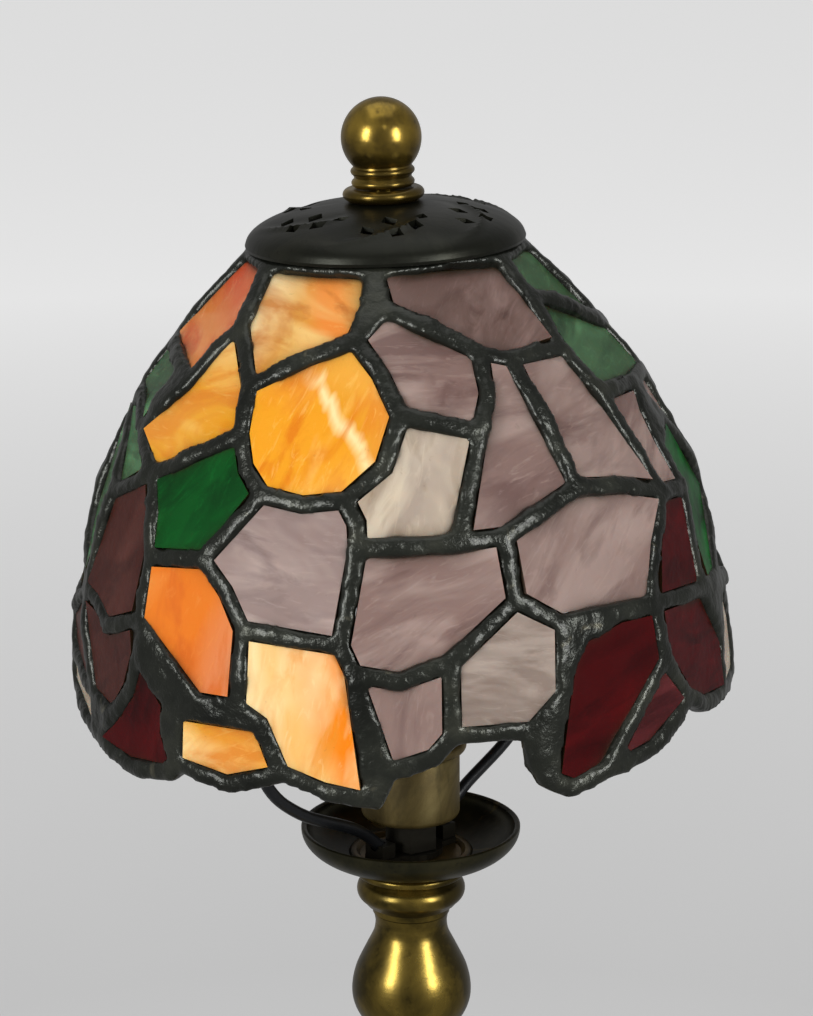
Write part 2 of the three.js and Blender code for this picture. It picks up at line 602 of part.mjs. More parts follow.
function buildHarp() {
  addPiece(leaning, 'harp_wire', harpWire(WIRE_RADIUS), 'blackWire');
  const wireTopZ = DISH_RIM_Z + 149.5;
  const bossTopZ = CAP_TOP_Z - 1.2 - GAP;
  const crown = solidOf(lathe([
    [0, wireTopZ - 3.4], [5.5, wireTopZ - 3.4], [6.2, wireTopZ - 2.6], [6.2, bossTopZ],
    [STUD_RADIUS, bossTopZ], [STUD_RADIUS, CAP_TOP_Z + 10.2], [0, CAP_TOP_Z + 10.8],
  ], 24));
  const groove = solidOf(harpWire(WIRE_RADIUS + GAP));
  addPiece(leaning, 'harp_crown', geometryOf(crown.subtract(groove)), 'brass');
  // the saddle is a strap under the socket nut whose two raised ears hold the wire's ends
  const floorZ = 147.2;
  const strap = solidOf(block(24, 8, 1.4, 0, 0, floorZ + 0.7))
    .add(solidOf(rod(8, floorZ, floorZ + 1.4)))
    .add(solidOf(block(4.4, 6, 4.6, -10.6, 0, floorZ + 2.6)))
    .add(solidOf(block(4.4, 6, 4.6, 10.6, 0, floorZ + 2.6)))
    .subtract(solidOf(rod(BORE, floorZ - 5, floorZ + 12)));
  const turned = geometryOf(strap).rotateZ(HARP_TURN);
  const wire = solidOf(harpWire(WIRE_RADIUS + GAP).applyMatrix4(leanMatrix()));
  addPiece(upright, 'harp_saddle', geometryOf(solidOf(turned).subtract(wire)), 'steel');
}

// ---------------------------------------------------------------- socket and bulb
function buildSocket() {
  const bottomZ = 156.8;
  addPiece(upright, 'socket_nut', hexNut(7.2, 148.9, bottomZ - GAP), 'steel');
  addPiece(upright, 'socket_cap', lathe([
    [BORE, bottomZ], [10.4, bottomZ], ...arc(10.4, bottomZ + 1.6, 1.8, 1.6, -70, 0, 3),
    [12.2, 173.3], [11.2, 173.3], [11.2, bottomZ + 1.6], [BORE, bottomZ + 1.6],
  ]), 'patina');
  addPiece(upright, 'socket_shell', lathe([
    [11.3, 173.6], [12.6, 173.6], ...arc(12.6, 175.3, 1.3, 1.5, -60, 60, 4), [12.3, 177.4],
    [12.3, 206], [11.9, 206.6], [11.3, 206],
  ]), 'patina');
  addPiece(upright, 'socket_liner', lathe([[10.2, 174.4], [11, 174.4], [11, 208], [10.2, 208]]), 'fibre');
  addPiece(upright, 'socket_base', lathe([
    [3, 165.5], [9.6, 165.5], [9.6, 175], [3, 175],
  ], 24), 'phenolic');
  addPiece(upright, 'socket_screw_shell', lathe([
    [6.4, 175.3], [9, 175.3], [9, 176.3], [7, 176.3], [7, 203.6], [6.4, 203.6],
  ], 24), 'brass');
  addPiece(upright, 'socket_contact', closed(new THREE.ExtrudeGeometry(contactOutline(),
    { depth: 4, bevelEnabled: false }).rotateX(Math.PI / 2).translate(0, 2, 0)), 'brass');
}

// side view of the spring tongue that stands on the socket base
function contactOutline() {
  const outline = new THREE.Shape();
  outline.moveTo(-4, 175.3);
  const corners = [
    [4, 175.3], [4, 176], [-3, 176], [-3, 177.4], [3.4, 179.2], [3.2, 179.9], [-4, 178],
  ];
  for (const [x, z] of corners) outline.lineTo(x, z);
  return outline;
}

function buildBulb() {
  const capTopZ = 204.5;
  addPiece(upright, 'bulb_contact', lathe([[0, 180.4], [2, 180.9], [2.4, 182.2], [0, 182.2]], 16), 'steel');
  const thread = Array.from({ length: 3 }, (_, i) => [
    [5.9, 186 + 6 * i], [5.4, 189 + 6 * i]]).flat();
  addPiece(upright, 'bulb_cap', lathe([
    [0, 182.5], [3, 182.5], [5.2, 184], ...thread, [5.8, capTopZ], [7.4, capTopZ + 2],
    [6.9, capTopZ + 2.4], [5, capTopZ], [4.8, 186], [0, 186],
  ], 16), 'brass');
  const glassZ = capTopZ + 3;
  const outside = smooth([[6.6, glassZ], [9, glassZ + 6], [15, glassZ + 18], [17.3, glassZ + 30],
    [15.5, glassZ + 44], [9, glassZ + 58], [3, glassZ + 66]], 7);
  const inside = outside.slice(0, -1).map(([r, z]) => [r - 1, z]).reverse();
  addPiece(upright, 'bulb_glass', lathe(
    [...outside, [0, glassZ + 67.6], [0, glassZ + 65], ...inside], 16), 'clearGlass');
  addPiece(upright, 'bulb_mount', lathe([
    [0, 187], [3.6, 187], [3.2, 206], [1.6, 218], [1.4, 232], [3, 234], [3, 236], [0, 237],
  ], 16), 'clearGlass');
}

function hexNut(acrossCorners, bottomZ, topZ) {
  const nut = solidOf(rod(acrossCorners, bottomZ, topZ, 6));
  return geometryOf(nut.subtract(solidOf(rod(BORE, bottomZ - 1, topZ + 1))));
}

// ---------------------------------------------------------------- dish and stem
function buildDish() {
  const underside = arc(10, DISH_RIM_Z - 0.8, 17.2, 9, -80, -2, 5);
  const bowl = arc(10, DISH_RIM_Z - 0.4, 15.9, 7.2, 0, -70, 4);
  addPiece(upright, 'dish', lathe([
    [BORE, DISH_RIM_Z - 10], [12, DISH_RIM_Z - 10], ...underside.slice(1), [DISH_RADIUS, DISH_RIM_Z - 0.3],
    [DISH_RADIUS - 0.6, DISH_RIM_Z], ...bowl, [14.8, DISH_RIM_Z - 6.6], [13.6, DISH_RIM_Z - 6.6],
    [12.6, DISH_RIM_Z - 7.6], [BORE, DISH_RIM_Z - 7.6],
  ], 24), 'dishBronze');
}

function bored(outline, bottomZ, topZ) {
  return lathe([[BORE, bottomZ], ...outline, [BORE, topZ]]);
}

function buildStem() {
  const topZ = DISH_RIM_Z - 10 - GAP;
  addPiece(upright, 'stem_collar', bored([
    [9.6, 131.6], [9.7, 133], [11.2, 133.9], ...arc(11, 137.6, 2.5, 2.9, -62, 62, 5),
    [11.4, 141], [13.6, 141.9], [13.6, 143.2], [11.6, topZ],
  ], 131.6, topZ), 'brass');
  addPiece(upright, 'stem_vase', bored([
    [6.6, 92.3], ...smooth([[6.6, 93.5], [8, 96.5], [11.4, 101.6], [14.2, 106.5], [14.95, 111],
      [14, 116.2], [11.6, 121.5], [9.4, 126], [8.9, 129]], 11), [9.3, 131.3],
  ], 92.3, 131.3), 'brass');
  addPiece(upright, 'stem_lower', bored([
    [12.2, 35.3], ...arc(11.4, 37.4, 1.7, 1.7, -60, 60, 3), [10, 40],
    ...smooth([[10, 40.6], [11.8, 45], [12, 50], [10.4, 58], [8, 67], [6.9, 76], [6.8, 80]], 7),
    [7.2, 82.5], ...arc(8, 85.4, 2, 2.1, -70, 70, 3), [7, 88.4], [7, 92],
  ], 35.3, 92), 'brass');
  addPiece(upright, 'threaded_tube', lathe([
    [3.2, 6], [TUBE_RADIUS, 6], [TUBE_RADIUS, 164], [3.2, 164]], 20), 'steel');
}

// ---------------------------------------------------------------- foot
function buildFoot() {
  const outside = [
    [52.5, 2.8], [52.8, 4.8], [51.6, 7], [50, 8], [50, 9.4], [46, 11.4], [38, 14.6], [31, 18.2],
    [30.4, 20.4], [27, 22], [21, 25.4], [16.6, 30], [15, 35],
  ];
  const inside = [[BORE, 35], [BORE, 31.8], [12.6, 31.8], [24, 20.6], [29, 16.2], [44.6, 9.6],
    [49.8, 6], [49.8, 2.8]];
  const shell = solidOf(lathe([...outside, ...inside], 28));
  const inletZ = 6.2;
  const hole = new THREE.CylinderGeometry(2.9 + GAP, 2.9 + GAP, 14, 16).translate(0, 50, inletZ);
  addPiece(upright, 'foot', geometryOf(shell.subtract(solidOf(hole))), 'brass');
  const bushing = new THREE.LatheGeometry([
    [1.9, 47], [2.9, 47], [2.9, 53.4], [3.8, 53.4], [3.8, 54.6], [1.9, 54.6], [1.9, 47],
  ].map(([r, y]) => new THREE.Vector2(r, y)), 16).translate(0, 0, inletZ);
  addPiece(upright, 'cord_bushing', closed(bushing), 'phenolic');
  addPiece(upright, 'foot_weight', lathe([
    [14, 3.2], [44, 3.2], [44, 6.6], [36, 10.6], [14, 12.6]]), 'iron');
  addPiece(upright, 'foot_nut', hexNut(10.5, 26.4, 31.5), 'steel');
  addPiece(upright, 'felt_pad', rod(51, 0, 2.5, 30), 'felt');
}

buildFoot();
buildStem();
buildDish();
buildSocket();
buildBulb();
buildHarp();
buildTopRing();
buildCap();
buildFinial();
buildShade();

export default lamp;
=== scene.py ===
# Looks of the leaded-glass accent lamp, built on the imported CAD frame. Metres, +Z up, -Y is the front.
import json
import math

import bmesh
import bpy
from mathutils import Matrix, Vector, noise


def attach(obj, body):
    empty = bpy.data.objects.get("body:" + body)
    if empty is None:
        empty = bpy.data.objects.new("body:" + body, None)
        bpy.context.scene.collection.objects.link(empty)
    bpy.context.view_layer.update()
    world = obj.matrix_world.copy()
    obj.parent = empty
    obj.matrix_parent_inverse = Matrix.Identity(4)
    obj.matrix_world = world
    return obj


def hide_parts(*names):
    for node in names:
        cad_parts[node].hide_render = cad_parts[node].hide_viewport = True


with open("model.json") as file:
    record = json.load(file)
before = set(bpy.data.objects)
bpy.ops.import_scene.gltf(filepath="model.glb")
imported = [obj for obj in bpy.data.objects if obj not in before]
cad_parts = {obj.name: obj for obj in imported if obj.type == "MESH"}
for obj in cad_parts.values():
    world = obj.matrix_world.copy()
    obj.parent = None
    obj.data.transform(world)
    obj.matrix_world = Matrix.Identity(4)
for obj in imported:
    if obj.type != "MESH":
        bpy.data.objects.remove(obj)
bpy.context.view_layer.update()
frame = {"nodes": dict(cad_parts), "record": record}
SLOT_OF = {part["node"]: part["material_slot"] for part in frame["record"]["subparts"]}

MM = 0.001  # the sizes below are in millimetres
LEAN = math.radians(2)  # harp, shade and finial lean this far to the left
PIVOT = Vector((0, 0, 0.150))  # where the lean starts
LEAN_MATRIX = (
    Matrix.Translation(PIVOT) @ Matrix.Rotation(-LEAN, 4, "Y") @ Matrix.Translation(-PIVOT)
)
HARP_TURN = math.radians(45)  # harp plane, turned from the lamp's width
DISH_RIM_Z = 154.5
CAP_TOP_Z = 310.6
CAP_RIM_Z = 301.5
CAP_RADIUS = 33.2
SHADE_TOP_Z = 300.2
TOP_RING_RADIUS = 27
WIRE_RADIUS = 1.5
BALL_RADIUS = 9.525
BALL_Z = 325.7
BORE = 5.2  # hole round the threaded tube


# ------------------------------------------------------------------ node helpers
class Shader:
    """A Principled material and short calls that add nodes to it."""

    def __init__(self, name):
        self.material = bpy.data.materials.new(name)
        self.material.use_nodes = True
        self.tree = self.material.node_tree
        self.surface = self.tree.nodes["Principled BSDF"]
        spots = self.tree.nodes.new("ShaderNodeTexCoord")
        self.place = spots.outputs["Object"]
        self.box = spots.outputs["Generated"]

    def add(self, kind, **inputs):
        node = self.tree.nodes.new(kind)
        for key, value in inputs.items():
            self.feed(node.inputs[key.replace("_", " ")], value)
        return node

    def feed(self, socket, value):
        if isinstance(value, bpy.types.NodeSocket):
            self.tree.links.new(value, socket)
        else:
            socket.default_value = value

    def mapped(self, scale=(1, 1, 1), shift=(0, 0, 0), place=None):
        start = self.place if place is None else place
        node = self.add("ShaderNodeMapping", Vector=start, Scale=scale, Location=shift)
        return node.outputs["Vector"]

    def rotated(self, angles):
        return self.add("ShaderNodeMapping", Vector=self.place, Rotation=angles).outputs["Vector"]

    def noise(self, scale, detail=3.0, roughness=0.5, distortion=0.0, vector=None):
        node = self.add(
            "ShaderNodeTexNoise",
            Vector=self.place if vector is None else vector,
            Scale=scale, Detail=detail, Roughness=roughness, Distortion=distortion,
        )
        return node.outputs["Fac"]

    def ramp(self, factor, stops):
        node = self.tree.nodes.new("ShaderNodeValToRGB")
        self.feed(node.inputs["Fac"], factor)
        ramp = node.color_ramp
        while len(ramp.elements) < len(stops):
            ramp.elements.new(0.5)
        for element, (position, colour) in zip(ramp.elements, stops):
            element.position = position
            element.color = (*colour, 1)
        return node.outputs["Color"]

    def steps(self, factor, low, high, start=0.0, end=1.0):
        node = self.add("ShaderNodeMapRange", Value=factor)
        node.inputs["From Min"].default_value = start
        node.inputs["From Max"].default_value = end
        node.inputs["To Min"].default_value = low
        node.inputs["To Max"].default_value = high
        return node.outputs["Result"]

    def mix(self, factor, first, second, blend="MIX"):
        node = self.tree.nodes.new("ShaderNodeMix")
        node.data_type = "RGBA"
        node.blend_type = blend
        self.feed(node.inputs[0], factor)
        for socket, value in ((node.inputs[6], first), (node.inputs[7], second)):
            if isinstance(value, tuple) and len(value) == 3:
                value = (*value, 1)
            self.feed(socket, value)
        return node.outputs[2]

    def math(self, operation, first, second=0.0):
        node = self.tree.nodes.new("ShaderNodeMath")
        node.operation = operation
        self.feed(node.inputs[0], first)
        self.feed(node.inputs[1], second)
        return node.outputs[0]

    def bump(self, height, distance, strength=1.0):
        node = self.add("ShaderNodeBump", Height=height, Distance=distance, Strength=strength)
        self.feed(self.surface.inputs["Normal"], node.outputs["Normal"])

    def finish(self, **values):
        for key, value in values.items():
            self.feed(self.surface.inputs[key.replace("_", " ")], value)
        return self.material


def rgb(code):
    """Linear colour of an sRGB hex code."""
    parts = [int(code[i : i + 2], 16) / 255 for i in (1, 3, 5)]
    return tuple(c / 12.92 if c <= 0.04045 else ((c + 0.055) / 1.055) ** 2.4 for c in parts)


# ------------------------------------------------------------------ materials
# main colour, lighter streak, darker streak, share of light streaks
PALETTES = {
    "amber": ("#d68f1c", "#e6bc68", "#c96f10", 0.26),
    "tangerine": ("#d2680a", "#dc8c44", "#c05004", 0.20),
    "coral": ("#c26a22", "#d89a6c", "#b03a14", 0.34),
    "honey": ("#c58428", "#dcb670", "#ac5c1c", 0.34),
    "honey_pale": ("#d8a050", "#e4cc98", "#d08020", 0.38),
    "lilac": ("#725c56", "#9a877f", "#5e4844", 0.40),
    "lilac_dark": ("#5c4842", "#7a645e", "#49352f", 0.32),
    "cream": ("#95877a", "#bcae99", "#83725f", 0.45),
    "pearl": ("#7a6c63", "#a29489", "#68584f", 0.42),
    "green": ("#053c12", "#0f6426", "#021a06", 0.30),
    "sage": ("#304a2e", "#568058", "#213622", 0.36),
    "ruby": ("#360002", "#4c0204", "#200001", 0.28),
    "maroon": ("#391813", "#4e2b25", "#270d0a", 0.34),
    "rose": ("#4a191c", "#622c2d", "#300e10", 0.34),
}
# panes whose glass is a variant of the colour of their slot
VARIANTS = {
    "pane_amber_lower_left": "tangerine",
    "pane_honey_long": "honey_pale",
    "pane_lilac_crown": "lilac_dark",
    "pane_cream_rim": "pearl",
}
# broad bands across a pane: colour, weight to the right, weight upward, start and end of the fade
BANDS = {
    "pane_honey_long": [("#dc7604", 1.0, 0.33, 0.6, 0.84), ("#e6d2a2", -1.0, -0.33, -0.5, -0.15)],
    "pane_honey_crown": [
        ("#d9792a", 1.0, 0.1, 0.5, 0.68), ("#b98038", 1.0, 0.0, 0.78, 0.95),
        ("#e0caa0", -1.0, 0.5, -0.05, 0.25),
    ],
    "pane_amber_disc": [
        ("#e2c890", 1.0, 0.73, 0.93, 1.02), ("#cf8a1c", 1.0, 0.73, 1.04, 1.12),
        ("#c96a04", 1.0, 0.1, 0.85, 1.15),
    ],
    "pane_amber_lower_left": [("#c97c5c", 1.0, -0.5, 0.3, 0.75)],
    "pane_amber_left": [("#e0b878", -0.2, 1.0, 0.55, 0.9)],
    "pane_amber_rim": [("#e2bf80", -0.6, -0.6, -0.7, -0.35)],
    "pane_coral_crown": [("#b8401c", 0.7, 0.7, 0.62, 0.95)],
    "pane_green_leaf_left": [("#02180a", 1.0, -1.0, 0.2, 0.5)],
}
# grime and painted shade: dark brown laid on the glass where ambient occlusion finds the corner between
# glass and lead
GRIME_AND_SHADE = "#221a0d"  # in the corner between glass and lead
DIRT = "#3a2c18"  # specks all over
GRIME_AND_SHADE_REACH = 0.004


def glass_material(name, colour, seed, bands=()):
    """Opalescent sheet glass: streaks of two tones swirled through the main colour, with grime and painted
    shade darkening it at the lead.
    """
    main, light, dark, share = PALETTES[colour]
    s = Shader(name)
    slant = math.radians(35 + 45 * math.sin(seed * 2.4))
    flow = s.rotated((0.3 * math.sin(seed), slant, 0.4 * math.cos(seed)))
    shift = (seed * 0.37, seed * 0.53, seed * 0.71)
    along = s.mapped(scale=(1, 1, 3.2), shift=shift, place=flow)
    swirl = s.noise(22, 3, 0.5, 1.0, along)
    wisps = s.noise(34, 4, 0.55, 1.4, along)
    threads = s.noise(90, 4, 0.6, 2.0, s.mapped(scale=(1, 1, 4.5), shift=shift, place=flow))
    clouds = s.noise(16, 2, 0.5, 0.6, s.mapped(shift=shift))
    dirt = s.noise(420, 4, 0.7, 0.4)
    tone = rgb(main)
    across = s.add("ShaderNodeSeparateXYZ", Vector=s.box)
    wander = s.math("MULTIPLY", s.math("SUBTRACT", swirl, 0.5), 0.5)
    for band, weight_right, weight_up, begin, full in bands:
        level = s.math("MULTIPLY", across.outputs["X"], weight_right)
        level = s.math("ADD", level, s.math("MULTIPLY", across.outputs["Z"], weight_up))
        tone = s.mix(s.steps(s.math("ADD", level, wander), 0, 1, begin, full), tone, rgb(band))
    tone = s.mix(s.steps(swirl, 0, 1, 0.62 - share * 0.4, 0.86 - share * 0.3), tone, rgb(light))
    tone = s.mix(s.steps(wisps, 0, 0.9, 0.47, 0.66), tone, rgb(dark))
    tone = s.mix(s.steps(threads, 0, 0.4, 0.56, 0.74), tone, rgb(light))
    tone = s.mix(s.steps(clouds, 0, 0.4, 0.45, 0.7), tone, rgb(light))
    tone = s.mix(s.steps(dirt, 0, 0.35, 0.66, 0.8), tone, rgb(DIRT))
    # painted shade and grime: the glass darkens toward this brown where ambient occlusion finds the lead
    # close by
    shade_at_lead = s.add("ShaderNodeAmbientOcclusion", Distance=GRIME_AND_SHADE_REACH)
    shade_at_lead.samples = 8
    tone = s.mix(s.steps(shade_at_lead.outputs["AO"], 0.95, 0, 0.55, 0.97), tone, rgb(GRIME_AND_SHADE))
    ripple = s.noise(130, 2, 0.5, 0.4, s.mapped(shift=shift))
    grain = s.noise(700, 2, 0.5)
    s.bump(s.math("ADD", ripple, s.math("MULTIPLY", grain, 0.12)), 0.0006, 0.5)
    return s.finish(
        Base_Color=tone,
        Roughness=s.steps(ripple, 0.3, 0.42),
        Specular_IOR_Level=0.12,
        Coat_Weight=0.02,
        Coat_Roughness=0.06,
        Subsurface_Weight=0.15,
        Subsurface_Scale=0.004,
    )


def lead_material():
    """Black-patinated solder: dark, glossy and lumpy, with a few bright rubbed spots."""
    s = Shader("lead_solder")
    cloud = s.noise(60, 4, 0.6)
    rubbed = s.noise(140, 3, 0.6, 0.6)
    tone = s.ramp(cloud, [(0.3, rgb("#151712")), (0.55, rgb("#262822")), (0.8, rgb("#3f4036"))])
    tone = s.mix(s.steps(rubbed, 0, 0.5, 0.66, 0.76), tone, rgb("#6e6a58"))
    s.bump(s.noise(230, 4, 0.6), 0.0009, 0.8)
    return s.finish(Base_Color=tone, Metallic=0.6, Roughness=s.steps(cloud, 0.24, 0.4), Coat_Weight=0.12)


def brass_material(name, dark, bright, worn, roughness=0.3):
    """Aged brass: a dark lacquer that is worn through in soft patches, with fine turning marks."""
    s = Shader(name)
    patches = s.noise(45, 5, 0.6, 0.4)
    specks = s.noise(420, 3, 0.6)
    rings = s.noise(900, 2, 0.5, 0, s.mapped(scale=(0.06, 0.06, 1)))
    tone = s.mix(s.steps(patches, 0, 1, 0.62 - worn * 0.4, 0.8 - worn * 0.3), rgb(dark), rgb(bright))
    tone = s.mix(s.steps(specks, 0, 0.5, 0.6, 0.75), tone, rgb("#181408"))
    s.bump(s.math("ADD", s.math("MULTIPLY", rings, 0.4), s.math("MULTIPLY", specks, 0.4)), 0.00012, 0.5)
    return s.finish(
        Base_Color=tone, Metallic=0.92, Roughness=s.steps(patches, roughness + 0.12, roughness - 0.05)
    )


def patina_material():
    """The socket's tube: dull brass gone yellow-green, blotched darker."""
    s = Shader("socket_patina")
    blotch = s.noise(70, 5, 0.65, 0.8)
    streak = s.noise(60, 4, 0.6, 0.6, s.mapped(scale=(2.4, 2.4, 0.5)))
    tone = s.ramp(blotch, [(0.3, rgb("#4a3f20")), (0.5, rgb("#60522c")), (0.72, rgb("#7a6c42"))])
    tone = s.mix(s.steps(streak, 0, 0.7, 0.55, 0.7), tone, rgb("#3c3418"))
    s.bump(s.noise(500, 3, 0.6), 0.0002, 0.4)
    return s.finish(Base_Color=tone, Metallic=0.6, Roughness=s.steps(blotch, 0.6, 0.38))


def bronze_material(name, main, light, roughness, dusty_radius=0):
    """Dark cast bronze with a faint brown-green bloom, and dusty gold within a radius of the axis."""
    s = Shader(name)
    bloom = s.noise(55, 5, 0.65, 0.5)
    pits = s.noise(650, 3, 0.6)
    tone = s.mix(s.steps(bloom, 0, 1, 0.42, 0.72), rgb(main), rgb(light))
    tone = s.mix(s.steps(pits, 0, 0.6, 0.6, 0.72), tone, rgb("#14120c"))
    if dusty_radius:
        flat = s.add("ShaderNodeVectorMath", Vector=s.mapped(scale=(1, 1, 0)))
        flat.operation = "LENGTH"
        dusty = s.steps(flat.outputs["Value"], 0.8, 0, dusty_radius - 0.001, dusty_radius)
        tone = s.mix(s.math("MULTIPLY", dusty, bloom), tone, rgb("#8a6f3e"))
        scuffed = s.math("MULTIPLY", s.steps(s.noise(110, 4, 0.7, 1.2), 0, 1, 0.62, 0.7), 0.5)
        tone = s.mix(scuffed, tone, rgb("#7d6a34"))
    s.bump(s.math("ADD", s.math("MULTIPLY", bloom, 0.6), s.math("MULTIPLY", pits, 0.3)), 0.0003, 0.45)
    return s.finish(
        Base_Color=tone, Metallic=0.75, Roughness=s.steps(bloom, roughness + 0.1, roughness - 0.08)
    )


def plain_material(name, main, light, metallic, roughness, grain=500, depth=0.0001):
    """A quiet surface: two close tones in a fine mottle with a fine bump."""
    s = Shader(name)
    mottle = s.noise(90, 4, 0.6)
    fine = s.noise(grain, 3, 0.6)
    tone = s.mix(mottle, rgb(main), rgb(light))
    s.bump(fine, depth, 0.6)
    dull = s.steps(fine, roughness - 0.06, roughness + 0.06)
    return s.finish(Base_Color=tone, Metallic=metallic, Roughness=dull)


def felt_material():
    """Pressed wool felt."""
    s = Shader("felt")
    hairs = s.noise(1500, 4, 0.7, 1.5)
    tone = s.mix(hairs, rgb("#16281d"), rgb("#2f4f3a"))
    s.bump(hairs, 0.0004, 0.8)
    return s.finish(Base_Color=tone, Roughness=0.95, Sheen_Weight=0.3)


def bulb_material():
    """Clear blown glass with faint waviness."""
    s = Shader("bulb_clear")
    s.bump(s.noise(60, 2, 0.5), 0.0003, 0.2)
    return s.finish(Base_Color=(0.96, 0.97, 0.97, 1), Roughness=0.03, Transmission_Weight=1.0, IOR=1.45)


LEAD = lead_material()
STEM_BRASS = brass_material("stem_brass_dark", "#453b1b", "#8c7635", 0.35, 0.26)
FINIAL_BRASS = brass_material("finial_brass_dark", "#5c4c22", "#b0923e", 0.4, 0.22)
FOOT_BRASS = brass_material("foot_brass_dark", "#50431f", "#9a8238", 0.3, 0.28)
SOCKET = patina_material()
DISH_BRONZE = bronze_material("dish_bronze", "#232213", "#403b25", 0.34, dusty_radius=0.0152)
CAP_BRONZE = bronze_material("cap_bronze", "#1b1c15", "#2d2d24", 0.34)
DARK_STEEL = plain_material("dark_steel", "#1c1a14", "#2c2920", 0.7, 0.45)
BLACK_WIRE = plain_material("harp_black", "#0c0d0f", "#1b1d20", 0.3, 0.38)
STEEL = plain_material("dull_steel", "#6d6c68", "#93928c", 0.9, 0.42)
IRON = plain_material("cast_iron", "#262628", "#3a3a3c", 0.5, 0.8, 260, 0.0005)
PHENOLIC = plain_material("phenolic", "#15100d", "#241b16", 0.0, 0.5)
FIBRE = plain_material("fibre_tube", "#6e5836", "#8f7650", 0.0, 0.9, 800, 0.0002)
SHELL_BRASS = plain_material("shell_brass", "#a8883c", "#c6a558", 0.95, 0.32)
BULB_METAL = plain_material("bulb_nickel", "#a9a389", "#c9c4ac", 0.95, 0.3)
FELT = felt_material()
BULB_GLASS = bulb_material()


# ------------------------------------------------------------------ mesh helpers
def add_object(name, mesh, body, material, *replaced):
    """A piece that rides on a CAD body in place of the CAD nodes named."""
    piece = bpy.data.objects.new(name, mesh)
    bpy.context.scene.collection.objects.link(piece)
    if material is not None:
        mesh.materials.clear()
        mesh.materials.append(material)
    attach(piece, body)
    if replaced:
        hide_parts(*replaced)


def soften(bm, sharp_degrees=38):
    """Smooth shading, with creases where faces meet at more than the given angle."""
    for face in bm.faces:
        face.smooth = True
    for edge in bm.edges:
        bent = len(edge.link_faces) != 2 or edge.calc_face_angle(0) > math.radians(sharp_degrees)
        edge.smooth = not bent


def arc(centre_r, centre_z, radius_r, radius_z, start, end, steps):
    """Points of an elliptical arc in the radius-height plane, in degrees."""
    angles = [math.radians(start + (end - start) * i / steps) for i in range(steps + 1)]
    return [(centre_r + radius_r * math.cos(a), centre_z + radius_z * math.sin(a)) for a in angles]


def spline(points, per_span=6):
    """A smooth Catmull-Rom line through the points."""
    padded = [points[0], *points, points[-1]]
    line = []
    for i in range(len(points) - 1):
        p0, p1, p2, p3 = (Vector(p) for p in padded[i : i + 4])
        for k in range(per_span):
            t = k / per_span
            bend = p0 * -1 + p1 * 3 - p2 * 3 + p3
            pull = p0 * 2 - p1 * 5 + p2 * 4 - p3
            line.append(tuple(0.5 * (p1 * 2 + (p2 - p0) * t + pull * t * t + bend * t**3)))
    line.append(tuple(points[-1]))
    return line


def turned_mesh(name, profile, segments=96, axis_matrix=None):
    """A closed turned form; the profile, in millimetres, runs from axis to axis or is a closed ring."""
    bm = bmesh.new()
    closed = not (profile[0][0] < 1e-6 and profile[-1][0] < 1e-6)
    rings = []
    for r, z in profile:
        if r < 1e-6:
            rings.append([bm.verts.new((0, 0, z * MM))])
            continue
        angles = [2 * math.pi * k / segments for k in range(segments)]
        rings.append([bm.verts.new((r * MM * math.cos(a), r * MM * math.sin(a), z * MM)) for a in angles])
    pairs = list(zip(rings, rings[1:]))
    if closed:
        pairs.append((rings[-1], rings[0]))
    for low, high in pairs:
        for k in range(segments):
            n = (k + 1) % segments
            corners = [low[k % len(low)], low[n % len(low)], high[n % len(high)], high[k % len(high)]]
            corners = list(dict.fromkeys(corners))
            if len(corners) > 2:
                bm.faces.new(corners)
    bmesh.ops.recalc_face_normals(bm, faces=bm.faces)
    soften(bm)
    if axis_matrix is not None:
        bm.transform(axis_matrix)
    mesh = bpy.data.meshes.new(name)
    bm.to_mesh(mesh)
    bm.free()
    return mesh


def turned(name, profile, body, material, *replaced, lean=False, segments=96):
    """A turned piece on its body; with lean it stands out of true like the shade."""
    mesh = turned_mesh(name, profile, segments, LEAN_MATRIX if lean else None)
    add_object(name, mesh, body, material, *replaced)


def baked_modifiers(piece):
    """The piece's mesh with its modifiers applied."""
    graph = bpy.context.evaluated_depsgraph_get()
    return bpy.data.meshes.new_from_object(piece.evaluated_get(graph))


# ------------------------------------------------------------------ shade
def pane_centre(points):
    """Azimuth in degrees (0 at the front, positive to the right) and height of a pane's middle."""
    upright = [LEAN_MATRIX.inverted() @ p for p in points]
    middle = sum(upright, Vector()) / len(upright)
    return math.degrees(math.atan2(middle.x, -middle.y)), middle.z / MM


def paint_panes():
    """Each CAD pane keeps its shape and gets its own streaks; returns centres for the back."""
    known = []
    names = sorted(n for n in frame["nodes"] if n.startswith("pane_"))
    for seed, name in enumerate(names):
        node = frame["nodes"][name]
        colour = VARIANTS.get(name, SLOT_OF[name].removeprefix("glass_"))
        node.material_slots[0].link = "OBJECT"
        glass = glass_material("sheet_" + name, colour, seed + 1, BANDS.get(name, ()))
        node.material_slots[0].material = glass
        known.append((*pane_centre([v.co for v in node.data.vertices]), colour))
    return known


# panes that have no node of their own: azimuth, height and colour at the first half turn
JOINED_PANES = [
    (79, 205, "cream"), (-76, 200, "cream"), (-83, 237, "sage"), (-79, 272, "sage"),
    (78, 240, "green"), (84, 262, "lilac"), (91, 232, "sage"), (102, 213, "maroon"),
    (88, 205, "lilac"),
]


def nearest_colour(azimuth, height, known):
    """The colour of the known pane that lies closest; a degree counts a little more than a millimetre."""
    def gap(entry):
        turn = (entry[0] - azimuth + 180) % 360 - 180
        return math.hypot(turn * 1.2, entry[1] - height)

    return min(known, key=gap)[2]


ONE_PLANE = math.radians(0.6)  # faces that bend less than this count as one plane
LEAST_PANE_AREA = 40 * MM * MM


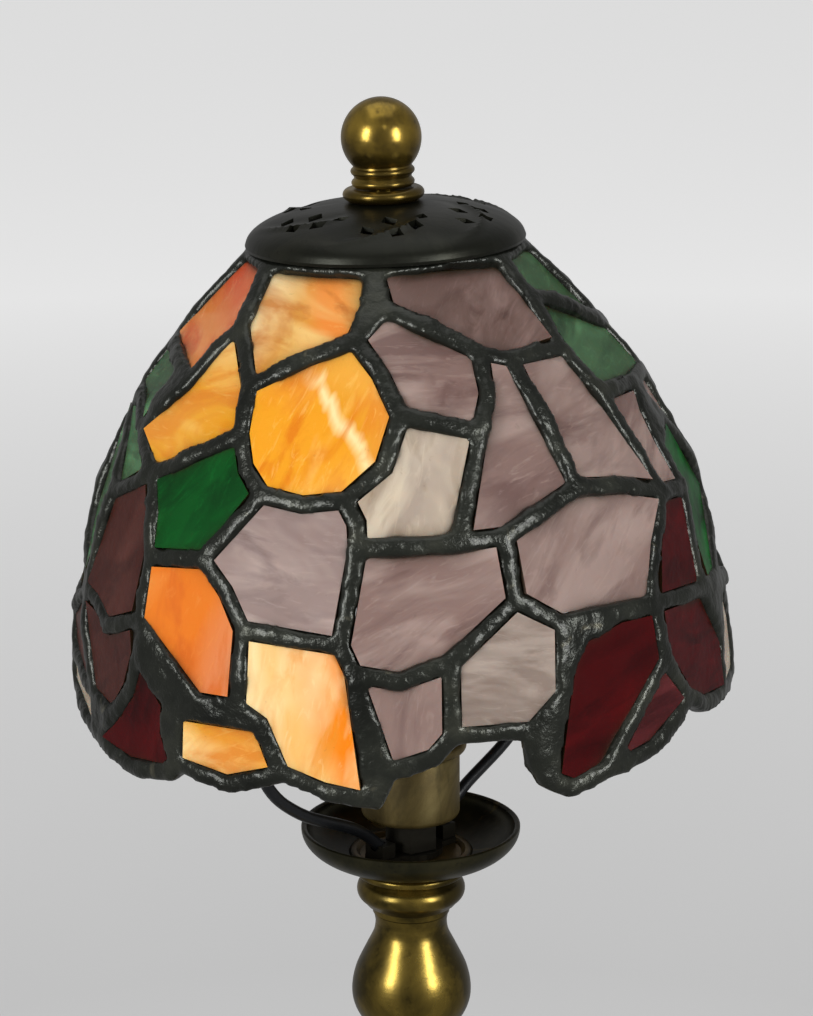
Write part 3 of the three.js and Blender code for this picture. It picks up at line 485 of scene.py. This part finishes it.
def flat_regions(bm):
    """Groups of neighbouring faces that lie in one plane; the large ones are sides of panes."""
    bm.faces.ensure_lookup_table()
    region = {}
    groups = []
    for start in bm.faces:
        if start in region:
            continue
        stack = [start]
        region[start] = len(groups)
        members = []
        while stack:
            face = stack.pop()
            members.append(face)
            for edge in face.edges:
                for other in edge.link_faces:
                    if other not in region and other.normal.angle(face.normal, 9) < ONE_PLANE:
                        region[other] = len(groups)
                        stack.append(other)
        groups.append(members)
    return groups


def back_panes(name, known):
    """The joined panes of the unseen half, coloured pane by pane."""
    bm = bmesh.new()
    bm.from_mesh(frame["nodes"][name].data)
    bmesh.ops.remove_doubles(bm, verts=bm.verts, dist=1e-6)
    colours = sorted(PALETTES)
    centres = []
    for members in flat_regions(bm):
        area = sum(f.calc_area() for f in members)
        if area < LEAST_PANE_AREA:
            continue
        middle = sum((f.calc_center_median() * f.calc_area() for f in members), Vector()) / area
        colour = nearest_colour(*pane_centre([middle]), known)
        centres.append((middle, colour))
        for face in members:
            face.material_index = colours.index(colour)
            face.tag = True
    for face in bm.faces:
        if not face.tag:
            middle = face.calc_center_median()
            nearest = min(centres, key=lambda c: (c[0] - middle).length)
            face.material_index = colours.index(nearest[1])
    mesh = bpy.data.meshes.new(name)
    bm.to_mesh(mesh)
    bm.free()
    for seed, colour in enumerate(colours):
        mesh.materials.append(glass_material(f"{name}_{colour}", colour, seed + 40))
    add_object("glass_" + name.removeprefix("panes_"), mesh, "shade", None, name)


BEAD_VOXEL = 0.9 * MM  # grain of the leading's mesh
BEAD_SWELL = 0.42
# lumps of the solder: wavelength and height, in millimetres
BEAD_LUMPS = ((6, 0.38), (2.4, 0.18))


def solder_leading():
    """The lattice as beads of solder: rounded, swollen and lumpy."""
    source = frame["nodes"]["shade_leading"].data.copy()
    rough = bpy.data.objects.new("leading_rough", source)
    bpy.context.scene.collection.objects.link(rough)
    remesh = rough.modifiers.new("even", "REMESH")
    remesh.mode = "VOXEL"
    remesh.voxel_size = BEAD_VOXEL
    smooth = rough.modifiers.new("round", "SMOOTH")
    smooth.factor = 0.5
    smooth.iterations = 7
    mesh = baked_modifiers(rough)
    bpy.data.objects.remove(rough)
    mesh.name = "leading"
    normals = [v.normal.copy() for v in mesh.vertices]
    for vertex, normal in zip(mesh.vertices, normals):
        lump = sum(noise.noise(vertex.co / (wave * MM)) * height for wave, height in BEAD_LUMPS)
        vertex.co += normal * (BEAD_SWELL + lump) * MM
    for polygon in mesh.polygons:
        polygon.use_smooth = True
    add_object("leading", mesh, "shade", LEAD, "shade_leading")


def build_shade():
    known = paint_panes() + JOINED_PANES
    turned_back = [(azimuth + 180, height, colour) for azimuth, height, colour in known]
    for name in ("panes_back_left", "panes_back_right"):
        back_panes(name, known + turned_back)
    solder_leading()
    ring = TOP_RING_RADIUS
    turned("shade_ring", [
        (ring - 2, SHADE_TOP_Z - 4), (ring - 1.6, SHADE_TOP_Z - 4.4), (ring - 0.2, SHADE_TOP_Z - 4.2),
        (ring, SHADE_TOP_Z - 3.8), (ring, SHADE_TOP_Z - 0.2), (ring - 0.3, SHADE_TOP_Z),
        (ring - 2, SHADE_TOP_Z),
    ], "shade_ring", STEM_BRASS, "shade_top_ring", lean=True)


# ------------------------------------------------------------------ cap
# diamond holes of one leaf of the cap: azimuth, radius, width, length, turn
PIERCINGS = [
    (-16, 24.3, 3.6, 5, 35), (-3, 19.3, 4.2, 5, 20), (-1, 26, 3.8, 4.4, 60), (11.5, 23, 4, 5, -20),
    (21, 18.6, 3.2, 4.2, -40),
]
LEAF_SPAN = 60
LEAF_AZIMUTHS = [-53 + LEAF_SPAN * leaf for leaf in range(6)]


def piercing_cutter():
    """All the cap's diamond holes as one mesh of slim prisms."""
    bm = bmesh.new()
    for leaf in LEAF_AZIMUTHS:
        for azimuth, radius, width, length, turn in PIERCINGS:
            angle = math.radians(azimuth + leaf)
            spot = (radius * math.sin(angle), -radius * math.cos(angle), CAP_TOP_Z - 3)
            place = Matrix.Translation(spot)
            spin = Matrix.Rotation(math.radians(turn) + angle, 4, "Z")
            size = Matrix.Diagonal((width, length, 1, 1))
            bmesh.ops.create_cone(
                bm, segments=4, radius1=0.5, radius2=0.5, depth=12, cap_ends=True,
                matrix=Matrix.Scale(MM, 4) @ place @ spin @ size,
            )
    mesh = bpy.data.meshes.new("cap_cutter")
    bm.to_mesh(mesh)
    bm.free()
    cutter = bpy.data.objects.new("cap_cutter", mesh)
    bpy.context.scene.collection.objects.link(cutter)
    return cutter


def leaf_relief(x, y):
    """Height in millimetres of the embossing at a point of the cap's top: a ridge that curls inward
    along each leaf, with a shallow hollow inside it."""
    radius = math.hypot(x, y) / MM
    azimuth = math.degrees(math.atan2(x, -y))
    along = ((azimuth - LEAF_AZIMUTHS[0] + 34) % LEAF_SPAN) / LEAF_SPAN
    ridge_radius = 30 - 13 * along**1.6
    ridge = math.exp(-(((radius - ridge_radius) / 0.9) ** 2)) * math.sin(math.pi * along)
    hollow = math.exp(-(((radius - ridge_radius + 3.5) / 3) ** 2)) * math.sin(math.pi * along)
    return 0.65 * ridge - 0.35 * hollow


def build_cap():
    rise = CAP_TOP_Z - CAP_RIM_Z
    wall = 1.2
    lip_z = SHADE_TOP_Z + 0.3
    profile = [
        (3.6, CAP_TOP_Z),
        *arc(0, CAP_RIM_Z, CAP_RADIUS, rise + 0.35, 82, 6, 30)[1:],
        (CAP_RADIUS + 0.15, CAP_RIM_Z), (CAP_RADIUS, CAP_RIM_Z - 0.7), (CAP_RADIUS - 0.6, lip_z + 0.1),
        (CAP_RADIUS - 1.4, lip_z), (CAP_RADIUS - 2.4, lip_z + 0.1),
        *arc(0, CAP_RIM_Z, CAP_RADIUS - 1.8, rise - wall + 0.3, 4, 80, 24),
        (3.6, CAP_TOP_Z - wall),
    ]
    plain = turned_mesh("cap", profile, 288)
    for vertex, normal in [(v, v.normal.copy()) for v in plain.vertices]:
        if normal.z > 0.15:
            vertex.co.z += leaf_relief(vertex.co.x, vertex.co.y) * MM
    piece = bpy.data.objects.new("cap_rough", plain)
    bpy.context.scene.collection.objects.link(piece)
    cutter = piercing_cutter()
    cut = piece.modifiers.new("pierced", "BOOLEAN")
    cut.object = cutter
    cut.solver = "EXACT"
    mesh = baked_modifiers(piece)
    bpy.data.objects.remove(piece)
    bpy.data.objects.remove(cutter)
    bm = bmesh.new()
    bm.from_mesh(mesh)
    soften(bm, 30)
    bm.transform(LEAN_MATRIX)
    bm.to_mesh(mesh)
    bm.free()
    add_object("cap", mesh, "shade", CAP_BRONZE, "shade_cap")


# ------------------------------------------------------------------ finial
def build_finial():
    seat = CAP_TOP_Z + 0.3
    turned("finial_seat", [
        (3.6, seat), (8.4, seat), *arc(7.9, seat + 1.6, 1.8, 1.5, -60, 80, 14),
        (7.2, seat + 3), (3.6, seat + 3),
    ], "finial_seat", FINIAL_BRASS, "finial_seat_ring", lean=True)
    foot = seat + 3.3
    turned("finial_ball", [
        (0, foot + 9), (3.6, foot + 9), (3.6, foot), (6.8, foot),
        *arc(6.6, foot + 1, 0.9, 0.9, -60, 60, 8), (6.8, foot + 2.2), (6.9, foot + 2.6),
        *arc(6.5, foot + 3.7, 1.1, 1, -60, 60, 8),
        *arc(0, BALL_Z, BALL_RADIUS, BALL_RADIUS, -43, 90, 44)[:-1], (0, BALL_Z + BALL_RADIUS),
    ], "finial", FINIAL_BRASS, "finial", lean=True)


# ------------------------------------------------------------------ harp
# one leg of the harp from its saddle to its top: distance from the axis, height above the dish rim
HARP_BOW = [(9.6, -4.2), (18.6, 3.6), (36.8, 13), (47.4, 24), (53, 44), (51.5, 74), (43, 104),
            (28, 130), (12, 146), (0, 149.5)]


def build_harp():
    across = Vector((math.cos(HARP_TURN), math.sin(HARP_TURN), 0))
    half = [(across * r + Vector((0, 0, DISH_RIM_Z + z))) * MM for r, z in HARP_BOW]
    other = [Vector((-p.x, -p.y, p.z)) for p in half]
    line = spline([tuple(p) for p in other + half[::-1][1:]], 8)
    curve = bpy.data.curves.new("harp_bow", "CURVE")
    curve.dimensions = "3D"
    curve.bevel_depth = WIRE_RADIUS * MM
    curve.bevel_resolution = 6
    curve.use_fill_caps = True
    strand = curve.splines.new("POLY")
    strand.points.add(len(line) - 1)
    for point, place in zip(strand.points, line):
        point.co = (*(LEAN_MATRIX @ Vector(place)), 1)
    strand.use_smooth = True
    curve.materials.append(BLACK_WIRE)
    wire = bpy.data.objects.new("harp_bow", curve)
    bpy.context.scene.collection.objects.link(wire)
    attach(wire, "stand")
    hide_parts("harp_wire")
    paint("harp_saddle", DARK_STEEL)
    paint("harp_crown", STEM_BRASS)


def paint(name, material):
    """A CAD node that keeps its shape and takes a procedural finish."""
    node = frame["nodes"][name]
    node.material_slots[0].link = "OBJECT"
    node.material_slots[0].material = material


# ------------------------------------------------------------------ socket and bulb
def build_socket():
    bottom = 156.8
    turned("socket_cup", [
        (BORE, bottom), (10.4, bottom), *arc(10.4, bottom + 1.6, 1.8, 1.6, -70, 0, 8),
        (12.2, 173.0), (12.0, 173.3), (11.2, 173.3), (11.2, bottom + 1.6), (BORE, bottom + 1.6),
    ], "stand", SOCKET, "socket_cap")
    turned("socket_tube", [
        (11.3, 173.6), (12.6, 173.6), *arc(12.6, 175.3, 1.3, 1.5, -60, 60, 12), (12.4, 177.2),
        (12.3, 178), (12.3, 206), (11.9, 206.6), (11.3, 206),
    ], "stand", SOCKET, "socket_shell")
    turned("socket_sleeve", [
        (10.2, 174.4), (11, 174.4), (11, 208), (10.2, 208),
    ], "stand", FIBRE, "socket_liner")
    turned("socket_block", [
        (3, 165.5), (9.4, 165.5), (9.6, 165.8), (9.6, 174.7), (9.4, 175), (3, 175),
    ], "stand", PHENOLIC, "socket_base", segments=64)
    turned("socket_thread", [
        (6.4, 175.3), (9, 175.3), (9, 176.3), (7, 176.3),
        *[(7 - 0.2 * (i % 2), 178 + 2.5 * i) for i in range(10)], (7, 203.6), (6.4, 203.6),
    ], "stand", SHELL_BRASS, "socket_screw_shell", segments=64)
    paint("socket_nut", DARK_STEEL)
    paint("socket_contact", SHELL_BRASS)


def build_bulb():
    cap_top = 204.5
    turned("bulb_tip", [(0, 180.4), (1.2, 180.45), (2, 180.9), (2.4, 182.2), (0, 182.2)],
           "bulb_tip", BULB_METAL, "bulb_contact", segments=48)
    thread = [(5.65 + 0.25 * math.cos(math.pi * i), 185 + 1.3 * i) for i in range(13)]
    turned("bulb_cap", [
        (0, 182.5), (3, 182.5), (5.2, 184), *thread, (5.8, cap_top), (7.4, cap_top + 2),
        (6.9, cap_top + 2.4), (5, cap_top), (4.8, 186), (0, 186),
    ], "bulb", BULB_METAL, "bulb_cap", segments=64)
    glass = cap_top + 3
    outside = spline([(6.6, glass), (9, glass + 6), (15, glass + 18), (17.3, glass + 30),
                      (15.5, glass + 44), (9, glass + 58), (3, glass + 66)], 5)
    inside = [(r - 1, z) for r, z in outside[:-1]][::-1]
    turned("bulb_envelope", [*outside, (0, glass + 67.6), (0, glass + 65), *inside],
           "bulb", BULB_GLASS, "bulb_glass", segments=64)
    turned("bulb_stem", [(0, 187), (3.6, 187), *spline([(3.2, 206), (1.6, 218), (1.4, 232)], 5),
                         (3, 234), (3, 236), (0, 237)], "bulb", BULB_GLASS, "bulb_mount", segments=32)


# ------------------------------------------------------------------ dish, stem and foot
def build_dish():
    rim = DISH_RIM_Z
    under = arc(10, rim - 0.8, 17.2, 9, -80, -2, 24)
    bowl = arc(10, rim - 0.4, 15.9, 7.2, 0, -70, 20)
    turned("dish", [
        (BORE, rim - 10), (12, rim - 10), *under[1:], (27.2, rim - 0.3), (26.95, rim - 0.05), (26.6, rim),
        *bowl, (15.2, rim - 6.9), (14.8, rim - 6.6), (13.6, rim - 6.6), (13.1, rim - 7), (12.6, rim - 7.6),
        (BORE, rim - 7.6),
    ], "stand", DISH_BRONZE, "dish", segments=128)


def build_stem():
    top = DISH_RIM_Z - 10.3
    turned("stem_collar", [
        (BORE, 131.6), (9.6, 131.6), (9.7, 133), (11.2, 133.9), *arc(11, 137.6, 2.5, 2.9, -62, 62, 22),
        (11.4, 141), (13.4, 141.8), (13.6, 142.1), (13.6, 143.0), (13.4, 143.3), (11.6, top), (BORE, top),
    ], "stand", STEM_BRASS, "stem_collar")
    turned("stem_vase", [
        (BORE, 92.3), (6.6, 92.3),
        *spline([(6.6, 93.5), (8, 96.5), (11.4, 101.6), (14.2, 106.5), (14.95, 111), (14, 116.2),
                 (11.6, 121.5), (9.4, 126), (8.9, 129)], 6),
        (9.1, 130.2), (9.3, 131.3), (BORE, 131.3),
    ], "stand", STEM_BRASS, "stem_vase")
    turned("stem_lower", [
        (BORE, 35.3), (12.2, 35.3), *arc(11.4, 37.4, 1.7, 1.7, -60, 60, 12), (10, 40),
        *spline([(10, 40.6), (11.8, 45), (12, 50), (10.4, 58), (8, 67), (6.9, 76), (6.8, 80)], 6),
        (7.2, 82.5), *arc(8, 85.4, 2, 2.1, -70, 70, 14), (7, 88.4), (7, 92), (BORE, 92),
    ], "stand", STEM_BRASS, "stem_lower")
    paint("threaded_tube", STEEL)


def build_foot():
    outside = [
        (52.4, 2.8), *spline([(52.5, 3.1), (52.8, 4.8), (51.6, 7), (50, 8)], 5), (50, 9.2), (49.4, 9.8),
        *spline([(47.5, 10.8), (38, 14.6), (31, 18.2)], 6), (30.4, 20.2), (29.6, 20.9), (28.4, 21.3),
        *spline([(27, 22), (21, 25.4), (16.6, 30), (15, 34.6)], 6), (14.6, 35),
    ]
    inside = [
        (BORE, 35), (BORE, 31.8), (12.6, 31.8), (24, 20.6), (29, 16.2), (44.6, 9.6), (49.8, 6),
        (49.8, 2.8),
    ]
    turned("foot", outside + inside, "stand", FOOT_BRASS, "foot", segments=128)
    turned("foot_weight", [
        (14, 3.2), (43.6, 3.2), (44, 3.6), (44, 6.4), (43.6, 6.8), (36, 10.6), (14, 12.6),
    ], "stand", IRON, "foot_weight")
    turned("felt_pad", [
        (0, 0), (50.6, 0), (51, 0.4), (51, 2.1), (50.6, 2.5), (0, 2.5),
    ], "stand", FELT, "felt_pad")
    paint("foot_nut", STEEL)
    paint("cord_bushing", PHENOLIC)


# ------------------------------------------------------------------ studio
FLOOR_HALF_SIZE = 12
FLOOR_Z = -0.0002
# the floor's painted light: its colour and its glow rise between these two distances from the lamp
FLOOR_GLOW_FADE = (0.28, 1.5)  # distance from the lamp where the floor starts and stops getting lighter
SKY_STRENGTH = 0.28


def build_studio():
    """A pale floor with painted light, whose colour and glow grow lighter with distance from the lamp, a
    dim white sky and four soft lights.
    """
    bm = bmesh.new()
    bmesh.ops.create_grid(bm, x_segments=1, y_segments=1, size=FLOOR_HALF_SIZE)
    mesh = bpy.data.meshes.new("studio_floor")
    bm.to_mesh(mesh)
    bm.free()
    floor = bpy.data.objects.new("studio_floor", mesh)
    floor.location.z = FLOOR_Z
    bpy.context.scene.collection.objects.link(floor)
    s = Shader("studio_floor")
    distance = s.add("ShaderNodeVectorMath", Vector=s.place)
    distance.operation = "LENGTH"
    # painted light: the floor is darker and glows less near the lamp, and is lighter and glows more far
    # from it
    painted_light_away = s.steps(distance.outputs["Value"], 0, 1, *FLOOR_GLOW_FADE)
    tone = s.mix(painted_light_away, rgb("#bababa"), rgb("#e6e6e6"))
    tone = s.mix(s.steps(s.noise(2.5, 2, 0.5), 0, 0.05), tone, rgb("#c8c8c8"))
    floor.data.materials.append(s.finish(
        Base_Color=tone, Roughness=0.9, Specular_IOR_Level=0.1,
        Emission_Color=(1, 1, 1, 1), Emission_Strength=s.steps(painted_light_away, 0.16, 0.49),
    ))
    floor.visible_glossy = False

    world = bpy.data.worlds.new("studio")
    bpy.context.scene.world = world
    world.use_nodes = True
    sky = world.node_tree.nodes["Background"]
    sky.inputs["Color"].default_value = (1, 1, 1, 1)
    sky.inputs["Strength"].default_value = SKY_STRENGTH

    def soft_light(name, place, target, size, power):
        lamp = bpy.data.lights.new(name, "AREA")
        lamp.shape = "RECTANGLE"
        lamp.size, lamp.size_y = size
        lamp.energy = power
        light = bpy.data.objects.new(name, lamp)
        bpy.context.scene.collection.objects.link(light)
        light.location = place
        light.rotation_euler = (Vector(target) - Vector(place)).to_track_quat("-Z", "Y").to_euler()

    soft_light("softbox_left", (-0.75, -0.75, 0.55), (0, 0, 0.23), (0.3, 0.55), 8.5)
    soft_light("softbox_right", (0.75, -0.75, 0.55), (0, 0, 0.23), (0.3, 0.55), 8.5)
    soft_light("softbox_top", (0, 0.1, 1.3), (0, 0, 0.2), (1.0, 1.0), 3)
    soft_light("softbox_front", (0.14, -0.72, 0.84), (0, 0, 0.25), (0.04, 0.04), 0.12)


CAMERA_PLACE = (0, -0.760, 0.4355)
CAMERA_PITCH = math.radians(-14.7516)
CAMERA_YAW = math.radians(-0.0478)
CAMERA_ROLL = math.radians(0.3)
LENS_MM = 115.0


def build_camera():
    """A long lens in front of the lamp, almost level, looking down on it by about 15 degrees."""
    camera_data = bpy.data.cameras.new("camera")
    camera_data.sensor_width = 36
    camera_data.lens = LENS_MM
    camera_data.clip_end = 50
    camera = bpy.data.objects.new("camera", camera_data)
    bpy.context.scene.collection.objects.link(camera)
    level = math.cos(CAMERA_PITCH)
    ahead = Vector((math.sin(CAMERA_YAW) * level, math.cos(CAMERA_YAW) * level, math.sin(CAMERA_PITCH)))
    side = ahead.cross(Vector((0, 0, 1))).normalized()
    up = side.cross(ahead)
    right = side * math.cos(CAMERA_ROLL) - up * math.sin(CAMERA_ROLL)
    top = side * math.sin(CAMERA_ROLL) + up * math.cos(CAMERA_ROLL)
    turn = Matrix((right, top, -ahead)).transposed().to_4x4()
    camera.matrix_world = Matrix.Translation(CAMERA_PLACE) @ turn
    bpy.context.scene.camera = camera


bpy.context.scene.view_settings.view_transform = "Standard"
build_camera()
build_studio()
build_foot()
build_stem()
build_dish()
build_socket()
build_bulb()
build_harp()
build_finial()
build_cap()
build_shade()
